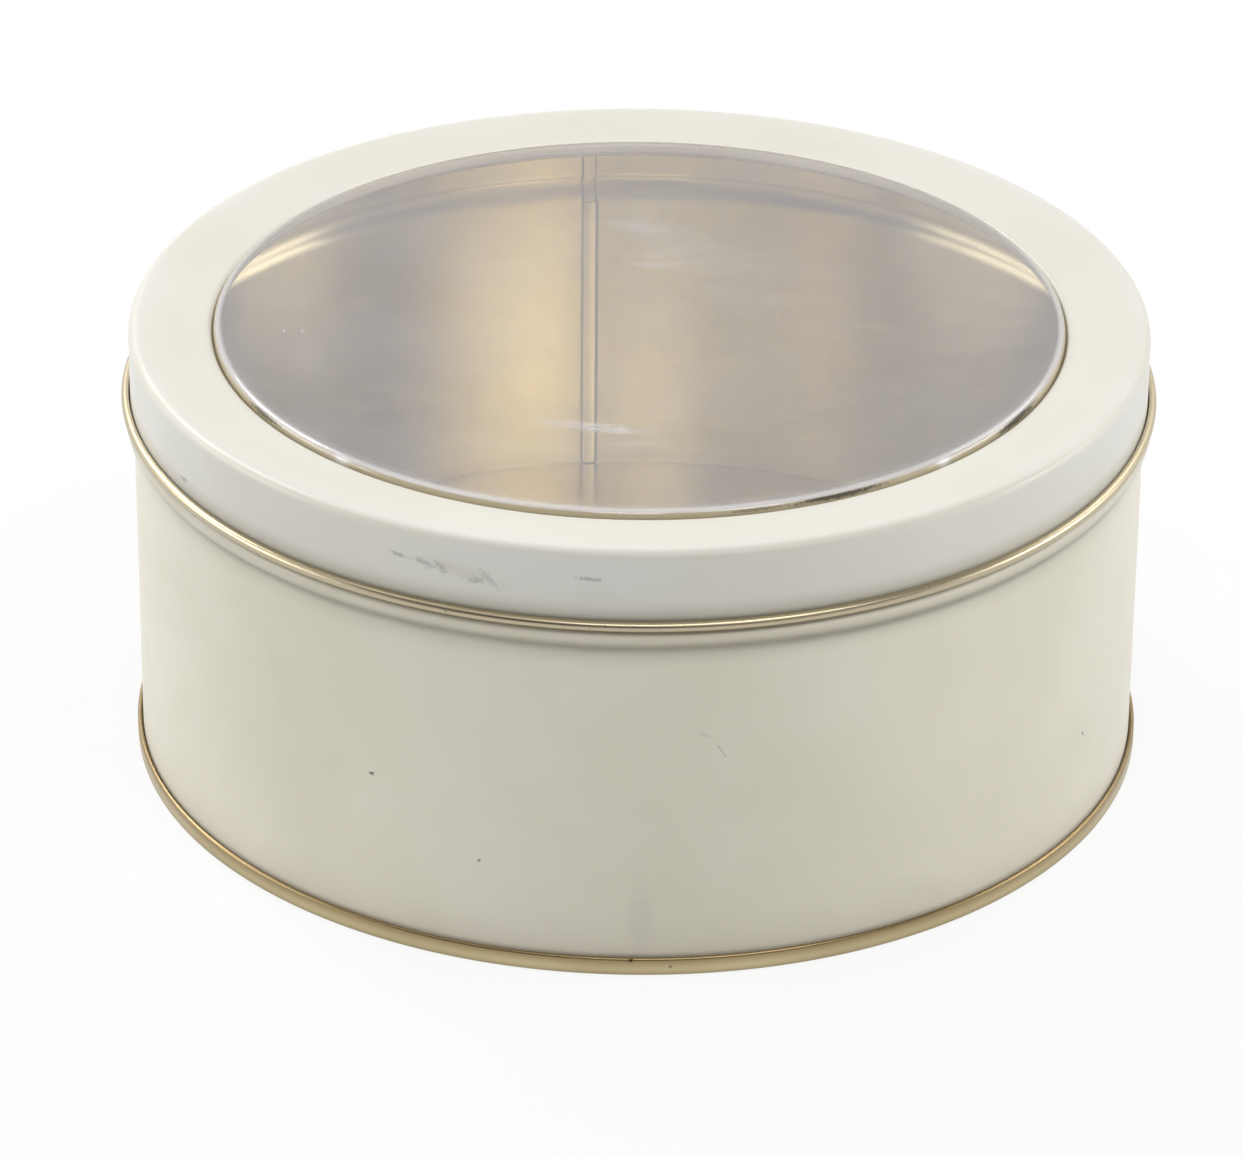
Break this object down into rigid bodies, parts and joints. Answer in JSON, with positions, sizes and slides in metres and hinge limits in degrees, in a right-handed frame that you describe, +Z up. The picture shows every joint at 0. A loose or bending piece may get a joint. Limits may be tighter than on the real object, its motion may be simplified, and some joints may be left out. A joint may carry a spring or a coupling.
{
  "type": "window lid tin",
  "caption": "Round ivory tin with a lift-off lid: a clear raised window in a dished ring, rolled gold edges and a double-seamed base.",
  "frame": {"origin": "centre of the double seam's standing edge, at the level the tin stands on", "axes": "+Z up along the tin's axis, -Y the side that faces the camera in the picture, +X to its right"},
  "size_m": [0.2124, 0.2124, 0.094],
  "materials": {
    "ivory_enamel": "gloss",
    "white_enamel": "gloss",
    "gold_tinplate": "gold lacquer",
    "clear_plastic": "clear"
  },
  "bodies": {
    "tin": {"body_wall": "ivory_enamel", "bottom_end": "gold_tinplate"},
    "lid": {"lid_frame": "white_enamel", "window_pane": "clear_plastic", "retaining_ring": "gold_tinplate"}
  },
  "joints": [
    {"name": "lid_lift", "type": "slide", "parent": "tin", "child": "lid", "axis": [0, 0, 1], "range_m": [0, 0.05]}
  ]
}
